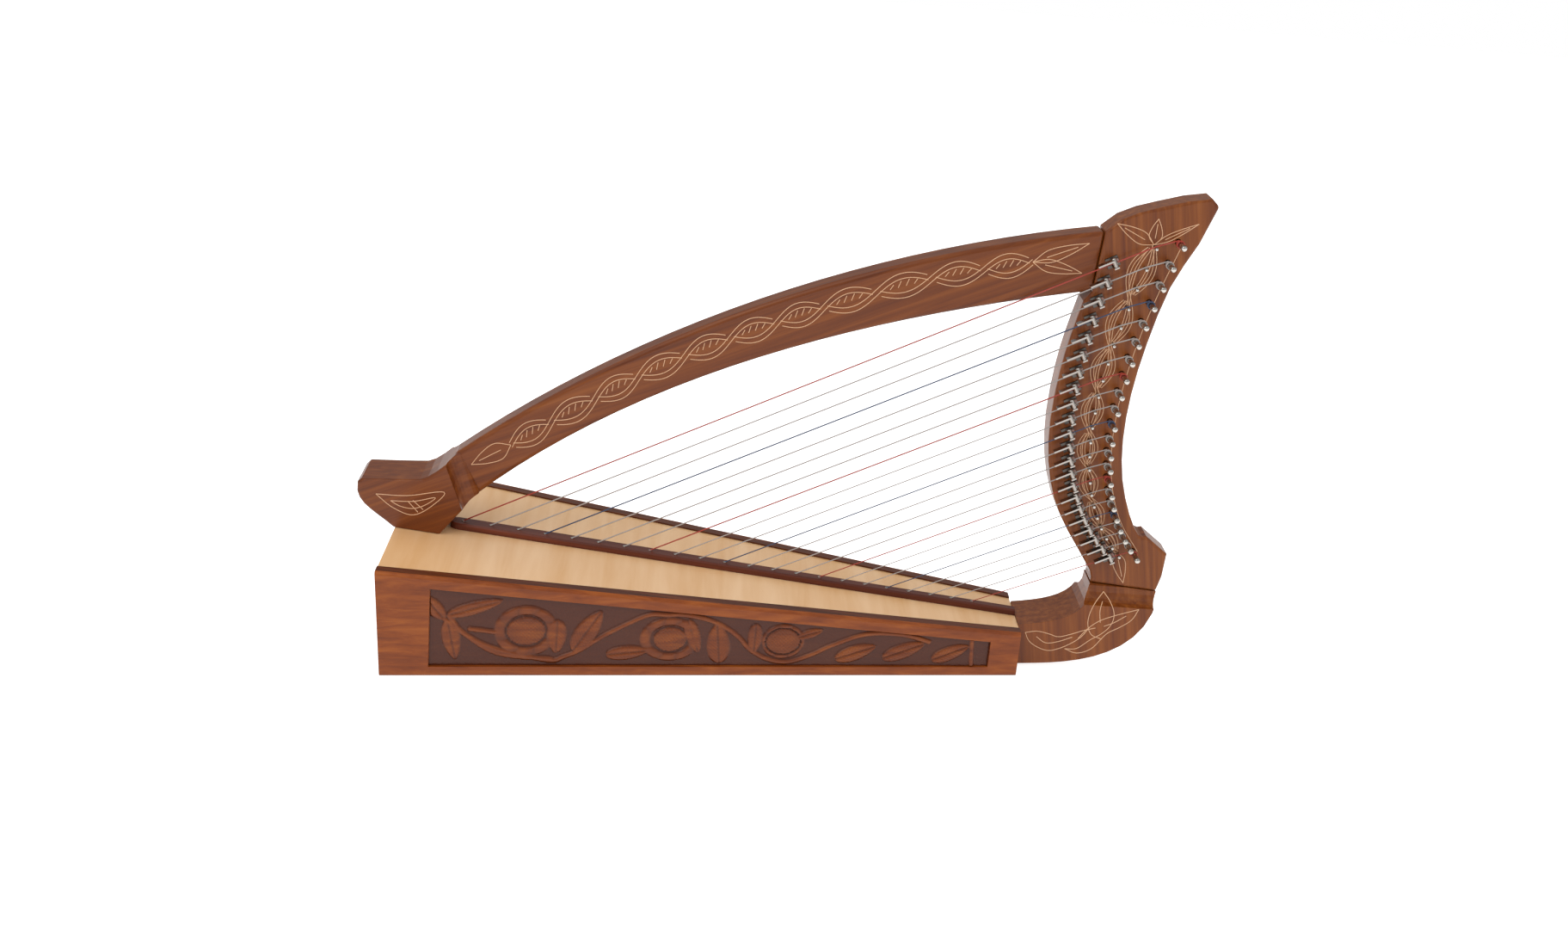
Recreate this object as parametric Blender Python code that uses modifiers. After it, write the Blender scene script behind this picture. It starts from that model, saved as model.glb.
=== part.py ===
# A small lever harp lying on its back: tapered soundbox, bowed pillar, harmonic neck, 22 strings.
# +X runs from the base end to the shoulder, +Y across the box, +Z up from the back.
# The origin is on the underside of the back, midway along the soundbox.

import math

import bmesh
import bpy
from mathutils import Matrix, Vector

# Clearance between pieces that touch
GAP = 0.0003

# Soundbox
BOX_LENGTH = 0.620
BASE_HEIGHT = 0.1061
TOP_HEIGHT = 0.0464
BASE_WIDTH = 0.286
TOP_WIDTH = 0.105
BASE_LEAN = 0.0055
SIDE_THICKNESS = 0.012
SIDE_LIP = 0.0038
EDGE_ROUND = 0.003
BOARD_THICKNESS = 0.004
STRIP_WIDTH = 0.0107
STRIP_THICKNESS = 0.0018
BACK_THICKNESS = 0.005
BACK_SEAT = 0.006
BASE_THICKNESS = 0.012
END_BLOCK_LENGTH = 0.030
CARVING_DEPTH = 0.003
CARVING_START = 0.050
CARVING_END_MARGIN = 0.030
CARVING_TOP_MARGIN = 0.012
CARVING_FOOT_MARGIN = 0.010
SOUND_HOLES = ((-0.190, 0.045, 0.026), (-0.070, 0.038, 0.021), (0.075, 0.032, 0.016))
BRACE_WIDTH = 0.010
BRACE_DEPTH = 0.012
BRACE_PLACES = (-0.130, 0.020, 0.160)

# Strings, counted from the longest, with the ribs that hold them
STRING_COUNT = 22
OCTAVE = 7
OCTAVE_LENGTHS = (0.7205, 0.4745, 0.2841, 0.1525)
STRING_ANGLE = math.radians(27.5)
FIRST_FOOT = 0.5126
FOOT_SPACING = 0.0276
FOOT_SPACING_CHANGE = 0.000151
STRING_RADIUS_BASS = 0.0006
STRING_RADIUS_TREBLE = 0.00035
STRING_SEAT = 0.003
STRING_HEIGHT_AT_NECK = 0.008
RIB_WIDTH_BASS = 0.019
RIB_WIDTH_TREBLE = 0.0105
RIB_HEIGHT = 0.0065
RIB_START = 0.050
RIB_CHAMFER = 0.0015
INNER_RIB_WIDTH = 0.014
INNER_RIB_HEIGHT = 0.005

# Pillar and its foot
SHAFT_THICKNESS = 0.030
SHAFT_ROUND = 0.004
PILLAR_HANDLE = 0.333
OUTER_START_ANGLE = math.radians(38.6)
OUTER_END_ANGLE = math.radians(9.8)
INNER_START_ANGLE = math.radians(42.0)
INNER_END_ANGLE = math.radians(11.0)
FOOT_THICKNESS = 0.057
FOOT_OVERHANG = 0.037
FOOT_RISE = 0.048
FOOT_ROUND = 0.0025
COVE_RADIUS = 0.0135

# Neck and shoulder
NECK_THICKNESS = 0.032
NECK_ROUND = 0.003
INNER_MARGIN_BASS = 0.0415
INNER_MARGIN_TREBLE = 0.036
OUTER_MARGIN = 0.035
SHOULDER_THICKNESS = 0.058
SHOULDER_ROUND = 0.004

# Hardware of one string
BRIDGE_PIN_RADIUS = 0.0015
BRIDGE_PIN_LENGTH = 0.011
SEMITONE = 1.0 - 2.0 ** (-1.0 / 12.0)
PIN_RADIUS = 0.0026
PIN_HOLE_CLEARANCE = 0.0005
PIN_FRONT = 0.024
PIN_BACK = 0.004
PIN_SQUARE = 0.0042
PIN_SQUARE_LENGTH = 0.012
PIN_ANGLE = math.radians(20.0)
PIN_DISTANCE_BASS = 0.0225
PIN_DISTANCE_TREBLE = 0.015
PLATE_THICKNESS = 0.0015
PLATE_WIDTH = 0.0098
PLATE_BACK = 0.007
PLATE_FRONT = 0.005
FRET_HEIGHT = 0.0052
FRET_LENGTH = 0.002
FRET_PLACE = 0.0035
FRET_WIDTH = 0.004
CHEEK_THICKNESS = 0.0017
CHEEK_LENGTH = 0.006
PIVOT_HEIGHT = 0.0105
PIVOT_RADIUS = 0.0009
PIVOT_CLEARANCE = 0.0004
HUB_RADIUS = 0.0023
CAM_RADIUS = 0.0013
CAM_OFFSET = 0.0016
CAM_WIDTH = 0.0024
BLADE_LENGTH = 0.016
BLADE_WIDTH = 0.0075
BLADE_THICKNESS = 0.0016

BASE_END = -BOX_LENGTH / 2.0
TOP_END = BOX_LENGTH / 2.0
STRING_STEP = Vector((math.cos(STRING_ANGLE), 0.0, math.sin(STRING_ANGLE)))
NECK_FACE = -NECK_THICKNESS / 2.0


def clear_scene():
    for obj in list(bpy.data.objects):
        bpy.data.objects.remove(obj, do_unlink=True)


def new_collection(name):
    collection = bpy.data.collections.new(name)
    bpy.context.scene.collection.children.link(collection)
    return collection


def new_material(name, colour, roughness, metallic=0.0):
    material = bpy.data.materials.new(name)
    material.use_nodes = True
    shader = material.node_tree.nodes["Principled BSDF"]
    shader.inputs["Base Color"].default_value = (*colour, 1.0)
    shader.inputs["Roughness"].default_value = roughness
    shader.inputs["Metallic"].default_value = metallic
    return material


clear_scene()
HARP = new_collection("lyre_harp")
CUTTERS = new_collection("cutters")
ROSEWOOD = new_material("rosewood", (0.23, 0.075, 0.028), 0.35)
SPRUCE = new_material("pale_soundboard", (0.82, 0.58, 0.33), 0.4)
DARK_WOOD = new_material("dark_strip", (0.09, 0.022, 0.012), 0.35)
RIB_WOOD = new_material("rib_wood", (0.13, 0.05, 0.045), 0.4)
NICKEL = new_material("nickel", (0.62, 0.60, 0.58), 0.25, 1.0)
LEVER_PLATE = new_material("lever_plate", (0.10, 0.09, 0.09), 0.4, 1.0)
INNER_WOOD = new_material("inner_wood", (0.55, 0.38, 0.22), 0.6)


def lerp(a, b, t):
    return a + (b - a) * t


def share(x):
    return (x - BASE_END) / BOX_LENGTH


def half_width(x):
    return lerp(BASE_WIDTH, TOP_WIDTH, share(x)) / 2.0


def rim_height(x):
    return lerp(BASE_HEIGHT, TOP_HEIGHT, share(x))


def board_top(x):
    return rim_height(x) - STRIP_THICKNESS


def board_seat(x):
    return board_top(x) - BOARD_THICKNESS


def arc(cx, cy, radius, start, end, steps):
    angles = [math.radians(lerp(start, end, i / steps)) for i in range(steps + 1)]
    return [(cx + radius * math.cos(a), cy + radius * math.sin(a)) for a in angles]


def bezier(start, handle_a, handle_b, end, steps):
    points = []
    for i in range(steps + 1):
        t = i / steps
        s = 1.0 - t
        points.append(
            s**3 * start + 3 * s * s * t * handle_a + 3 * s * t * t * handle_b + t**3 * end
        )
    return points


def bow(start, end, start_angle, end_angle, steps):
    reach = (end - start).length * PILLAR_HANDLE
    handle_a = start + reach * Vector((math.cos(start_angle), math.sin(start_angle)))
    handle_b = end - reach * Vector((math.cos(end_angle), math.sin(end_angle)))
    return bezier(start, handle_a, handle_b, end, steps)


def smooth(points, steps):
    """Catmull-Rom points through the given ones, the ends included."""
    line = [2 * points[0] - points[1], *points, 2 * points[-1] - points[-2]]
    found = []
    for i in range(1, len(line) - 2):
        a, b, c, d = line[i - 1 : i + 3]
        for k in range(steps):
            t = k / steps
            found.append(
                0.5
                * (
                    2 * b
                    + (c - a) * t
                    + (2 * a - 5 * b + 4 * c - d) * t * t
                    + (3 * b - a - 3 * c + d) * t**3
                )
            )
    found.append(points[-1])
    return found


def place(name, mesh, material, collection=None):
    obj = bpy.data.objects.new(name, mesh)
    (collection or HARP).objects.link(obj)
    if material:
        mesh.materials.clear()
        mesh.materials.append(material)
    return obj


def finish(bm, name, material, collection=None):
    bmesh.ops.recalc_face_normals(bm, faces=bm.faces)
    mesh = bpy.data.meshes.new(name)
    bm.to_mesh(mesh)
    bm.free()
    return place(name, mesh, material, collection)


def loft(name, sections, material, collection=None):
    """A closed solid through sections that have the same count of points."""
    bm = bmesh.new()
    rings = [[bm.verts.new(point) for point in section] for section in sections]
    count = len(rings[0])
    for ring, following in zip(rings, rings[1:]):
        for i in range(count):
            j = (i + 1) % count
            bm.faces.new((ring[i], ring[j], following[j], following[i]))
    bm.faces.new(rings[0])
    bm.faces.new(list(reversed(rings[-1])))
    return finish(bm, name, material, collection)


def cutter(obj):
    for collection in obj.users_collection:
        collection.objects.unlink(obj)
    CUTTERS.objects.link(obj)
    obj.hide_render = True
    obj.display_type = "WIRE"
    return obj


def boolean(obj, other, operation):
    modifier = obj.modifiers.new(operation.lower(), "BOOLEAN")
    modifier.operation = operation
    modifier.solver = "EXACT"
    modifier.use_self = operation == "UNION"
    modifier.object = other
    cutter(other)
    return obj


def bake(obj):
    """The object with its modifiers made real, under the same name."""
    bpy.context.view_layer.update()
    graph = bpy.context.evaluated_depsgraph_get()
    mesh = bpy.data.meshes.new_from_object(obj.evaluated_get(graph))
    bm = bmesh.new()
    bm.from_mesh(mesh)
    bmesh.ops.remove_doubles(bm, verts=bm.verts, dist=0.000001)
    bm.to_mesh(mesh)
    bm.free()
    name = obj.name
    material = obj.data.materials[0] if obj.data.materials else None
    collection = obj.users_collection[0]
    world = obj.matrix_world.copy()
    bpy.data.objects.remove(obj, do_unlink=True)
    baked = place(name, mesh, material, collection)
    baked.matrix_world = world
    return baked


def profile(name, outline, thickness, round_width, material):
    """A flat outline in X and Z, extruded about Y = 0, with its long edges rounded."""
    curve = bpy.data.curves.new(name, "CURVE")
    curve.dimensions = "2D"
    curve.fill_mode = "BOTH"
    curve.extrude = thickness / 2.0
    spline = curve.splines.new("POLY")
    spline.points.add(len(outline) - 1)
    for point, (x, z) in zip(spline.points, outline):
        point.co = (x, z, 0.0, 1.0)
    spline.use_cyclic_u = True
    obj = place(name, curve, None)
    obj.matrix_world = Matrix.Rotation(math.radians(90.0), 4, "X")
    curve.materials.append(material)
    solid = bake(obj)
    if round_width:
        bevel = solid.modifiers.new("edge", "BEVEL")
        bevel.width = round_width
        bevel.segments = 3
        bevel.limit_method = "ANGLE"
        bevel.angle_limit = math.radians(60.0)
        solid = bake(solid)
    return solid


def rod(name, start, end, radius, sides, collection=None, material=None):
    bm = bmesh.new()
    length = (end - start).length
    bmesh.ops.create_cone(
        bm, cap_ends=True, segments=sides, radius1=radius, radius2=radius, depth=length
    )
    turn = (end - start).to_track_quat("Z", "Y").to_matrix().to_4x4()
    bmesh.ops.transform(bm, matrix=Matrix.Translation((start + end) / 2.0) @ turn, verts=bm.verts)
    return finish(bm, name, material, collection)


def box(name, low, high, material=None, collection=None):
    bm = bmesh.new()
    bmesh.ops.create_cube(bm, size=1.0)
    size = [high[i] - low[i] for i in range(3)]
    centre = [(high[i] + low[i]) / 2.0 for i in range(3)]
    matrix = Matrix.Translation(centre) @ Matrix.Diagonal((*size, 1.0))
    bmesh.ops.transform(bm, matrix=matrix, verts=bm.verts)
    return finish(bm, name, material, collection)


def joined(name, objects, material=None):
    """One mesh that holds several closed shapes, as a single Boolean operand."""
    bm = bmesh.new()
    for obj in objects:
        mesh = obj.data.copy()
        mesh.transform(obj.matrix_world)
        bm.from_mesh(mesh)
        bpy.data.meshes.remove(mesh)
    for obj in objects:
        bpy.data.objects.remove(obj, do_unlink=True)
    mesh = bpy.data.meshes.new(name)
    bm.to_mesh(mesh)
    bm.free()
    return place(name, mesh, material)


def lean(x, z):
    """How far the leaning base end draws a point in."""
    if x > BASE_END + BASE_THICKNESS + GAP:
        return 0.0
    return BASE_LEAN * (1.0 - z / BASE_HEIGHT)


def section(x, outline):
    return [Vector((x + lean(x, z), y, z)) for y, z in outline]


# Soundbox


def side_panel(name, sign):
    sections = []
    for x in (BASE_END, TOP_END):
        w = half_width(x)
        h = rim_height(x)
        outline = arc(w - EDGE_ROUND, EDGE_ROUND, EDGE_ROUND, -90, 0, 3)
        outline += arc(w - EDGE_ROUND, h - EDGE_ROUND, EDGE_ROUND, 0, 90, 3)
        outline += [
            (w - SIDE_LIP, h),
            (w - SIDE_LIP, board_seat(x) - GAP),
            (w - SIDE_THICKNESS, board_seat(x) - GAP),
            (w - SIDE_THICKNESS, BACK_THICKNESS + GAP),
            (w - BACK_SEAT, BACK_THICKNESS + GAP),
            (w - BACK_SEAT, 0.0),
        ]
        sections.append(section(x, [(sign * y, z) for y, z in outline]))
    panel = loft(name, sections, ROSEWOOD)
    start = BASE_END + CARVING_START
    end = TOP_END - CARVING_END_MARGIN
    field = []
    for x in (start, end):
        inner = sign * (half_width(x) - CARVING_DEPTH)
        outer = sign * (half_width(x) + CARVING_DEPTH)
        low = CARVING_FOOT_MARGIN
        high = rim_height(x) - CARVING_TOP_MARGIN
        field.append(section(x, [(inner, low), (outer, low), (outer, high), (inner, high)]))
    boolean(panel, loft(name + "_field", field, None, CUTTERS), "DIFFERENCE")
    return bake(panel)


def soundboard():
    sections = []
    for x in (BASE_END, TOP_END):
        y = half_width(x) - SIDE_LIP - GAP
        low = board_seat(x)
        high = board_top(x)
        sections.append(section(x, [(-y, low), (y, low), (y, high), (-y, high)]))
    return loft("soundboard", sections, SPRUCE)


def edge_strip(name, sign):
    sections = []
    for x in (BASE_END, TOP_END):
        outer = sign * (half_width(x) - SIDE_LIP - GAP)
        inner = sign * (half_width(x) - SIDE_LIP - STRIP_WIDTH)
        low = board_top(x) + GAP
        high = rim_height(x)
        sections.append(section(x, [(inner, low), (outer, low), (outer, high), (inner, high)]))
    return loft(name, sections, DARK_WOOD)


def back_panel():
    sections = []
    for x in (BASE_END, TOP_END):
        y = half_width(x) - BACK_SEAT - GAP
        outline = [(-y, 0.0), (y, 0.0), (y, BACK_THICKNESS), (-y, BACK_THICKNESS)]
        sections.append(section(x, outline))
    panel = loft("back_panel", sections, ROSEWOOD)
    holes = []
    for place_x, half_length, half_wide in SOUND_HOLES:
        hole = rod("hole", Vector((0, 0, -0.01)), Vector((0, 0, 0.02)), 1.0, 32)
        hole.data.transform(Matrix.Diagonal((half_length, half_wide, 1.0, 1.0)))
        hole.data.transform(Matrix.Translation((place_x, 0.0, 0.0)))
        holes.append(hole)
    boolean(panel, joined("sound_holes", holes), "DIFFERENCE")
    return bake(panel)


def cross_piece(name, near, far, material):
    """A solid across the box between the sides, from the back up to the soundboard."""
    sections = []
    for x in (near, far):
        y = half_width(far) - SIDE_THICKNESS - GAP
        low = BACK_THICKNESS + GAP
        high = board_seat(x) - GAP
        sections.append(section(x, [(-y, low), (y, low), (y, high), (-y, high)]))
    return loft(name, sections, material)


def inner_rib():
    start = BASE_END + BASE_THICKNESS + BASE_LEAN + GAP
    end = TOP_END - END_BLOCK_LENGTH - GAP
    sections = []
    for x in (start, end):
        y = INNER_RIB_WIDTH / 2.0
        high = board_seat(x) - GAP
        low = high - INNER_RIB_HEIGHT
        sections.append([Vector((x, a, b)) for a, b in ((-y, low), (y, low), (y, high), (-y, high))])
    return loft("inner_rib", sections, INNER_WOOD)


def brace(name, x):
    """A bar across the back panel, between the two sides."""
    sections = []
    for edge in (x - BRACE_WIDTH / 2.0, x + BRACE_WIDTH / 2.0):
        y = half_width(x + BRACE_WIDTH / 2.0) - SIDE_THICKNESS - GAP
        low = BACK_THICKNESS + GAP
        high = low + BRACE_DEPTH
        sections.append(
            [Vector((edge, a, b)) for a, b in ((-y, low), (y, low), (y, high), (-y, high))]
        )
    return loft(name, sections, INNER_WOOD)


# Strings


def string_foot(n):
    x = TOP_END - FIRST_FOOT - 0.0449 + n * FOOT_SPACING - FOOT_SPACING_CHANGE * n * n
    return Vector((x, 0.0, board_top(x) + RIB_HEIGHT))


def string_length(n):
    """A cubic through the lengths of the strings that are an octave apart."""
    places = [OCTAVE * i for i in range(4)]
    total = 0.0
    for i, length in enumerate(OCTAVE_LENGTHS):
        term = length
        for j in range(4):
            if j != i:
                term *= (n - places[j]) / (places[i] - places[j])
        total += term
    return total


def string_radius(n):
    return lerp(STRING_RADIUS_BASS, STRING_RADIUS_TREBLE, n / (STRING_COUNT - 1))


def string_top(n):
    """Where the string's middle line passes its bridge pin."""
    point = string_foot(n) + STRING_STEP * string_length(n)
    point.y = NECK_FACE - STRING_HEIGHT_AT_NECK
    return point


def pin_centre(n):
    distance = lerp(PIN_DISTANCE_BASS, PIN_DISTANCE_TREBLE, n / (STRING_COUNT - 1))
    step = Vector((math.cos(PIN_ANGLE), 0.0, math.sin(PIN_ANGLE)))
    side = Vector((math.sin(PIN_ANGLE), 0.0, -math.cos(PIN_ANGLE)))
    offset = PIN_RADIUS + GAP + string_radius(n)
    return string_top(n) + step * distance + side * offset


def string_end(n):
    distance = lerp(PIN_DISTANCE_BASS, PIN_DISTANCE_TREBLE, n / (STRING_COUNT - 1))
    return string_top(n) + Vector((math.cos(PIN_ANGLE), 0.0, math.sin(PIN_ANGLE))) * distance


def strings():
    curve = bpy.data.curves.new("strings", "CURVE")
    curve.dimensions = "3D"
    curve.bevel_depth = 1.0
    curve.bevel_resolution = 1
    curve.use_fill_caps = True
    for n in range(STRING_COUNT):
        foot = string_foot(n)
        top = string_top(n)
        seat = foot + (foot - top).normalized() * STRING_SEAT
        route = [seat, top, string_end(n)]
        spline = curve.splines.new("POLY")
        spline.points.add(len(route) - 1)
        for point, co in zip(spline.points, route):
            point.co = (*co, 1.0)
            point.radius = string_radius(n)
    return bake(place("strings", curve, None))


def string_rib():
    round_length = RIB_WIDTH_BASS / 2.0
    start = BASE_END + RIB_START
    places = [start + round_length * (1.0 - math.cos(math.radians(a))) for a in (12, 35, 60, 90)]
    places.append(TOP_END - GAP)
    sections = []
    for x in places:
        y = lerp(RIB_WIDTH_BASS, RIB_WIDTH_TREBLE, (x - start) / (TOP_END - start)) / 2.0
        run = min(1.0, (x - start) / round_length)
        y *= math.sqrt(1.0 - (1.0 - run) ** 2)
        low = board_top(x) + GAP
        high = board_top(x) + RIB_HEIGHT
        cut = min(RIB_CHAMFER, y * 0.5)
        outline = [
            (-y, low),
            (y, low),
            (y, high - cut),
            (y - cut, high),
            (cut - y, high),
            (-y, high - cut),
        ]
        sections.append([Vector((x, a, b)) for a, b in outline])
    rib = loft("string_rib", sections, RIB_WOOD)
    boolean(rib, strings(), "UNION")
    return bake(rib)


# Pillar


def flat(point):
    return Vector((point.x, point.z))


def neck_corner(dx, dz, n=0):
    """A point of the neck's outline, measured from the bridge pin of string n."""
    return flat(string_top(n)) + Vector((dx, dz))


def pillar():
    joint_top = neck_corner(-0.047, 0.009) - Vector((GAP, 0.0))
    joint_foot = neck_corner(-0.0514, -0.0495) - Vector((GAP, 0.0))
    board = board_top(BASE_END) + GAP
    base = Vector((BASE_END, board))
    outer_start = base + Vector((0.053, 0.074))
    inner_start = base + Vector((0.070, 0.0285))
    outer = bow(outer_start, joint_top, OUTER_START_ANGLE, OUTER_END_ANGLE, 22)
    inner = bow(inner_start, joint_foot, INNER_START_ANGLE, INNER_END_ANGLE, 22)
    shaft = profile("pillar", outer + inner[::-1], SHAFT_THICKNESS, SHAFT_ROUND, ROSEWOOD)
    foot = foot_block(base, outer_start, inner_start)
    boolean(shaft, foot, "UNION")
    return bake(shaft)


def foot_block(base, outer_start, inner_start):
    """The thick foot, whose top and overhang follow the base end and whose cove meets the shaft."""
    slope = (TOP_HEIGHT - BASE_HEIGHT) / BOX_LENGTH
    heel = base + Vector((0.0436, 0.0436 * slope))
    toe = base + Vector((-0.002, 0.0))
    tip = base + Vector((-FOOT_OVERHANG, 0.035))
    crown = base + Vector((-0.033, FOOT_RISE))
    rise = base + Vector((0.023, FOOT_RISE + 0.003))
    cove_outer = outer_start + Vector((0.006, 0.0035))
    cove_inner = inner_start + Vector((0.010, 0.0090))
    outline = bezier(heel, heel + Vector((-0.015, 0.0014)), toe + Vector((0.015, 0.0)), toe, 1)
    outline += bezier(toe, toe + Vector((-0.0155, 0.013)), tip + Vector((0.002, -0.014)), tip, 6)[1:]
    outline += bezier(tip, tip + Vector((-0.0008, 0.007)), crown + Vector((-0.004, 0.0)), crown, 2)[1:]
    outline += bezier(crown, crown + Vector((0.02, 0.001)), rise + Vector((-0.012, -0.001)), rise, 4)[1:]
    outline += bezier(rise, rise + Vector((0.012, 0.002)), outer_start, cove_outer, 5)[1:]
    outline += [cove_inner, inner_start]
    outline += bezier(inner_start, inner_start + Vector((-0.01, -0.012)), heel + Vector((0.008, 0.010)), heel, 4)[1:-1]
    foot = profile("pillar_foot", outline, FOOT_THICKNESS, FOOT_ROUND, ROSEWOOD)
    along = (inner_start - outer_start).normalized()
    across = Vector((-along.y, along.x))
    middle = (inner_start + outer_start) / 2.0 + across * 0.006
    coves = []
    for sign in (-1.0, 1.0):
        y = sign * (SHAFT_THICKNESS / 2.0 + COVE_RADIUS)
        ends = [middle + along * reach for reach in (-0.06, 0.06)]
        start, end = (Vector((p.x, y, p.y)) for p in ends)
        coves.append(rod("cove", start, end, COVE_RADIUS, 24))
    boolean(foot, joined("foot_coves", coves), "DIFFERENCE")
    return bake(foot)


# Neck and shoulder


def neck_outline():
    inner = []
    for n in (19, 16, 13, 10, 7, 5, 3):
        margin = lerp(INNER_MARGIN_BASS, INNER_MARGIN_TREBLE, n / (STRING_COUNT - 1))
        inner.append(flat(string_top(n)) - Vector((margin, 0.0)))
    outer = [flat(string_top(n)) + Vector((OUTER_MARGIN, 0.0)) for n in (2, 5, 8, 11, 14, 17, 19)]
    last = STRING_COUNT - 1
    seat = shoulder_joint()
    inner_line = smooth([seat[0], neck_corner(-0.024, -0.022, last), *inner], 2)
    inner_line += [neck_corner(-0.0514, -0.0495), neck_corner(-0.047, 0.009)]
    head = [(-0.033, 0.0215), (-0.016, 0.0296), (0.0024, 0.0357), (0.0277, 0.0433), (0.0492, 0.0472)]
    head_line = [neck_corner(dx, dz) for dx, dz in head]
    corner = [(0.0566, 0.0402)]
    corner_line = [neck_corner(dx, dz) for dx, dz in corner]
    outer_line = smooth([neck_corner(0.0434, 0.004), *outer, neck_corner(0.0277, 0.0181, last)], 2)
    lip = [(0.0508, 0.0006), (0.0494, -0.0234)]
    lip_line = [neck_corner(dx, dz, last) for dx, dz in lip]
    return inner_line + head_line + corner_line + outer_line + lip_line + [seat[1]]


def shoulder_joint():
    last = STRING_COUNT - 1
    return neck_corner(-0.0225, -0.0345, last), neck_corner(0.0455, -0.0395, last)


def string_frame(n, at):
    """Axes u along the string, v across it in the neck's plane, w out of the neck's near face."""
    u = STRING_STEP
    v = Vector((-u.z, 0.0, u.x))
    w = Vector((0.0, -1.0, 0.0))
    origin = Vector((at.x, NECK_FACE, at.z))
    matrix = Matrix((u, v, w)).transposed().to_4x4()
    matrix.translation = origin
    return matrix


def lever_place(n):
    return string_top(n) - STRING_STEP * (string_length(n) * SEMITONE)


def cheek_span():
    return -PLATE_WIDTH / 2.0, CHEEK_THICKNESS - PLATE_WIDTH / 2.0


def bracket(n):
    """The base plate, fret and pivot cheek of one lever."""
    low, high = cheek_span()
    plate = box(
        "plate",
        (-PLATE_BACK, -PLATE_WIDTH / 2.0, -0.001),
        (PLATE_FRONT, PLATE_WIDTH / 2.0, PLATE_THICKNESS),
    )
    fret = box(
        "fret",
        (FRET_PLACE - FRET_LENGTH / 2.0, -FRET_WIDTH / 2.0, PLATE_THICKNESS / 2.0),
        (FRET_PLACE + FRET_LENGTH / 2.0, FRET_WIDTH / 2.0, FRET_HEIGHT),
    )
    cheek = box(
        "cheek",
        (-CHEEK_LENGTH / 2.0, low, PLATE_THICKNESS / 2.0),
        (CHEEK_LENGTH / 2.0, high, PIVOT_HEIGHT + HUB_RADIUS),
    )
    pivot = rod(
        "pivot",
        Vector((0.0, (low + high) / 2.0, PIVOT_HEIGHT)),
        Vector((0.0, PLATE_WIDTH / 2.0, PIVOT_HEIGHT)),
        PIVOT_RADIUS,
        8,
    )
    boolean(plate, fret, "UNION")
    plate = bake(plate)
    boolean(plate, cheek, "UNION")
    plate = bake(plate)
    boolean(plate, pivot, "UNION")
    return bake(plate)


def neck():
    solid = profile("neck", neck_outline(), NECK_THICKNESS, NECK_ROUND, ROSEWOOD)
    hole_radius = (PIN_RADIUS + PIN_HOLE_CLEARANCE) / math.cos(math.pi / 12.0)
    holes = []
    for n in range(STRING_COUNT):
        centre = pin_centre(n)
        near = Vector((centre.x, -NECK_THICKNESS, centre.z))
        far = Vector((centre.x, NECK_THICKNESS, centre.z))
        holes.append(rod("pin_hole", near, far, hole_radius, 12))
    boolean(solid, joined("pin_holes", holes), "DIFFERENCE")
    solid = bake(solid)
    pattern = bracket(0)
    fittings = []
    for n in range(STRING_COUNT):
        copy = place("bracket", pattern.data.copy(), None)
        copy.data.transform(string_frame(n, lever_place(n)))
        fittings.append(copy)
        side = Vector((math.sin(STRING_ANGLE), 0.0, -math.cos(STRING_ANGLE)))
        centre = string_top(n) + side * (BRIDGE_PIN_RADIUS + string_radius(n) + GAP)
        foot = Vector((centre.x, NECK_FACE + 0.001, centre.z))
        tip = Vector((centre.x, NECK_FACE - BRIDGE_PIN_LENGTH, centre.z))
        fittings.append(rod("bridge_pin", foot, tip, BRIDGE_PIN_RADIUS, 8))
    bpy.data.objects.remove(pattern, do_unlink=True)
    boolean(solid, joined("fittings", fittings), "UNION")
    return bake(solid)


def shoulder_block():
    joint_inner, joint_outer = shoulder_joint()
    drop = Vector((0.0, GAP))
    foot_inner = Vector((TOP_END + GAP, TOP_HEIGHT - 0.0005))
    foot_outer = Vector((TOP_END + GAP, 0.003))
    start = joint_inner - drop
    end = joint_outer - drop
    inner = bezier(
        foot_inner, foot_inner + Vector((0.0364, 0.0052)), start - Vector((0.0008, 0.0332)), start, 10
    )
    outer = bezier(
        end, end + Vector((-0.0072, -0.0793)), foot_outer + Vector((0.0381, 0.0039)), foot_outer, 12
    )
    block = profile("shoulder_block", inner + outer, SHOULDER_THICKNESS, SHOULDER_ROUND, ROSEWOOD)
    radius = (SHOULDER_THICKNESS - NECK_THICKNESS) / 2.0
    height = min(start.y, end.y) - 0.001
    coves = []
    for sign in (-1.0, 1.0):
        y = sign * (NECK_THICKNESS / 2.0 + radius)
        near = Vector((start.x - 0.03, y, height))
        far = Vector((end.x + 0.03, y, height))
        coves.append(rod("cove", near, far, radius, 24))
    boolean(block, joined("shoulder_coves", coves), "DIFFERENCE")
    return bake(block)


# Tuning pins and levers


def tuning_pin_mesh():
    """A round pin along Y whose far end is squared for the key."""
    shank = rod(
        "tuning_pin",
        Vector((0.0, NECK_FACE - PIN_FRONT, 0.0)),
        Vector((0.0, -NECK_FACE + PIN_BACK, 0.0)),
        PIN_RADIUS,
        10,
    )
    half = PIN_SQUARE / 2.0
    end = -NECK_FACE + PIN_BACK
    key = box("key_end", (-half, end - 0.001, -half), (half, end + PIN_SQUARE_LENGTH, half))
    boolean(shank, key, "UNION")
    return bake(shank)


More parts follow.
